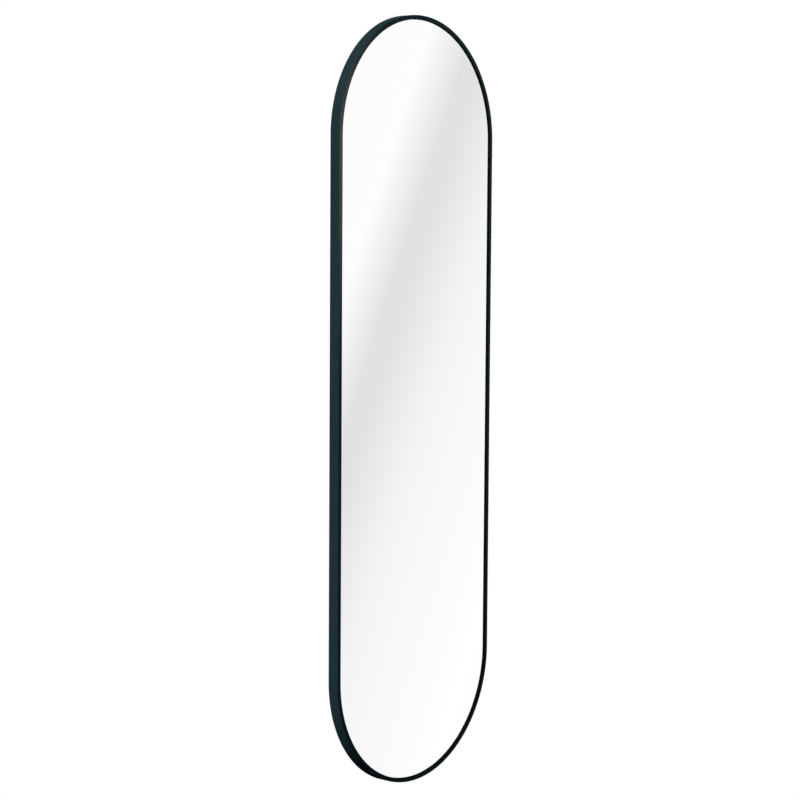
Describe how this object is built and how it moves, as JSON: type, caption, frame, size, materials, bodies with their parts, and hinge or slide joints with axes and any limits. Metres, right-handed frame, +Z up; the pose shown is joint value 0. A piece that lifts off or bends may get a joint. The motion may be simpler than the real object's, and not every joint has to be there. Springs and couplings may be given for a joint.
{
  "type": "pull out closet mirror",
  "caption": "Slim pill shaped full length mirror in a dark metal frame, on a full extension slide carrier that pulls out along a closet's side panel and lets the mirror swing to face the user.",
  "frame": {"origin": "centre of the mounting plate's face against the closet's side panel", "axes": "+Z up, +Y into the side panel, so the glass faces -Y; +X into the closet, so the mirror pulls out towards -X"},
  "size_m": [0.381, 0.041, 1.22],
  "materials": {
    "powder_coat": "satin powder coat, dark petrol black",
    "mirror_glass": "silvered float glass",
    "backing_film": "grey safety film",
    "hardboard": "dark sealed hardboard",
    "gasket_rubber": "black",
    "foam": "black closed cell foam",
    "zinc_steel": "bright zinc plate",
    "black_steel": "black powder coat",
    "screw_steel": "zinc plated",
    "black_screw": "black oxide",
    "ball_steel": "polished",
    "cage_steel": "plain",
    "nylon": "natural"
  },
  "bodies": {
    "root": {"mounting_plate": "black_steel", "outer_member_upper": "zinc_steel", "outer_member_lower": "zinc_steel", "slide_rivets": "screw_steel", "end_buffers": "gasket_rubber"},
    "outer_cages": {"outer_ball_cages": "cage_steel", "outer_race_balls": "ball_steel"},
    "middle_members": {"middle_member_upper": "zinc_steel", "middle_member_lower": "zinc_steel"},
    "inner_cages": {"inner_ball_cages": "cage_steel", "inner_race_balls": "ball_steel"},
    "carriage": {"inner_member_upper": "zinc_steel", "inner_member_lower": "zinc_steel", "carriage_upright": "black_steel", "pivot_arm_top": "black_steel", "pivot_arm_bottom": "black_steel", "pivot_bushes": "nylon", "stop_pins": "screw_steel", "carriage_screws": "screw_steel", "carriage_nuts": "screw_steel", "rest_buffers": "gasket_rubber"},
    "mirror_panel": {"frame_upper": "powder_coat", "frame_lower": "powder_coat", "splice_plates": "screw_steel", "frame_screws": "black_screw", "glazing_gasket": "gasket_rubber", "mirror_glass": "mirror_glass", "safety_film": "backing_film", "backing_board": "hardboard", "cushion_strip": "foam", "cross_bar_upper": "black_steel", "cross_bar_lower": "black_steel", "hinge_bracket_top": "black_steel", "hinge_bracket_bottom": "black_steel", "bracket_screws": "screw_steel", "pivot_pins": "screw_steel", "retaining_clips": "cage_steel"}
  },
  "joints": [
    {"name": "pull_out", "type": "slide", "parent": "root", "child": "carriage", "axis": [-1, 0, 0], "range_m": [0, 0.3]},
    {"name": "middle_slide", "type": "slide", "parent": "root", "child": "middle_members", "axis": [-1, 0, 0], "range_m": [0, 0.15]},
    {"name": "outer_cage_roll", "type": "slide", "parent": "root", "child": "outer_cages", "axis": [-1, 0, 0], "range_m": [0, 0.075]},
    {"name": "inner_cage_roll", "type": "slide", "parent": "root", "child": "inner_cages", "axis": [-1, 0, 0], "range_m": [0, 0.225]},
    {"name": "swivel", "type": "hinge", "parent": "carriage", "child": "mirror_panel", "pos_m": [-0.152, -0.0132, 0], "axis": [0, 0, -1], "range_deg": [0, 90]}
  ],
  "couplings": [
    {"joint": "middle_slide", "follows": "pull_out", "ratio": 0.5},
    {"joint": "outer_cage_roll", "follows": "pull_out", "ratio": 0.25},
    {"joint": "inner_cage_roll", "follows": "pull_out", "ratio": 0.75}
  ]
}
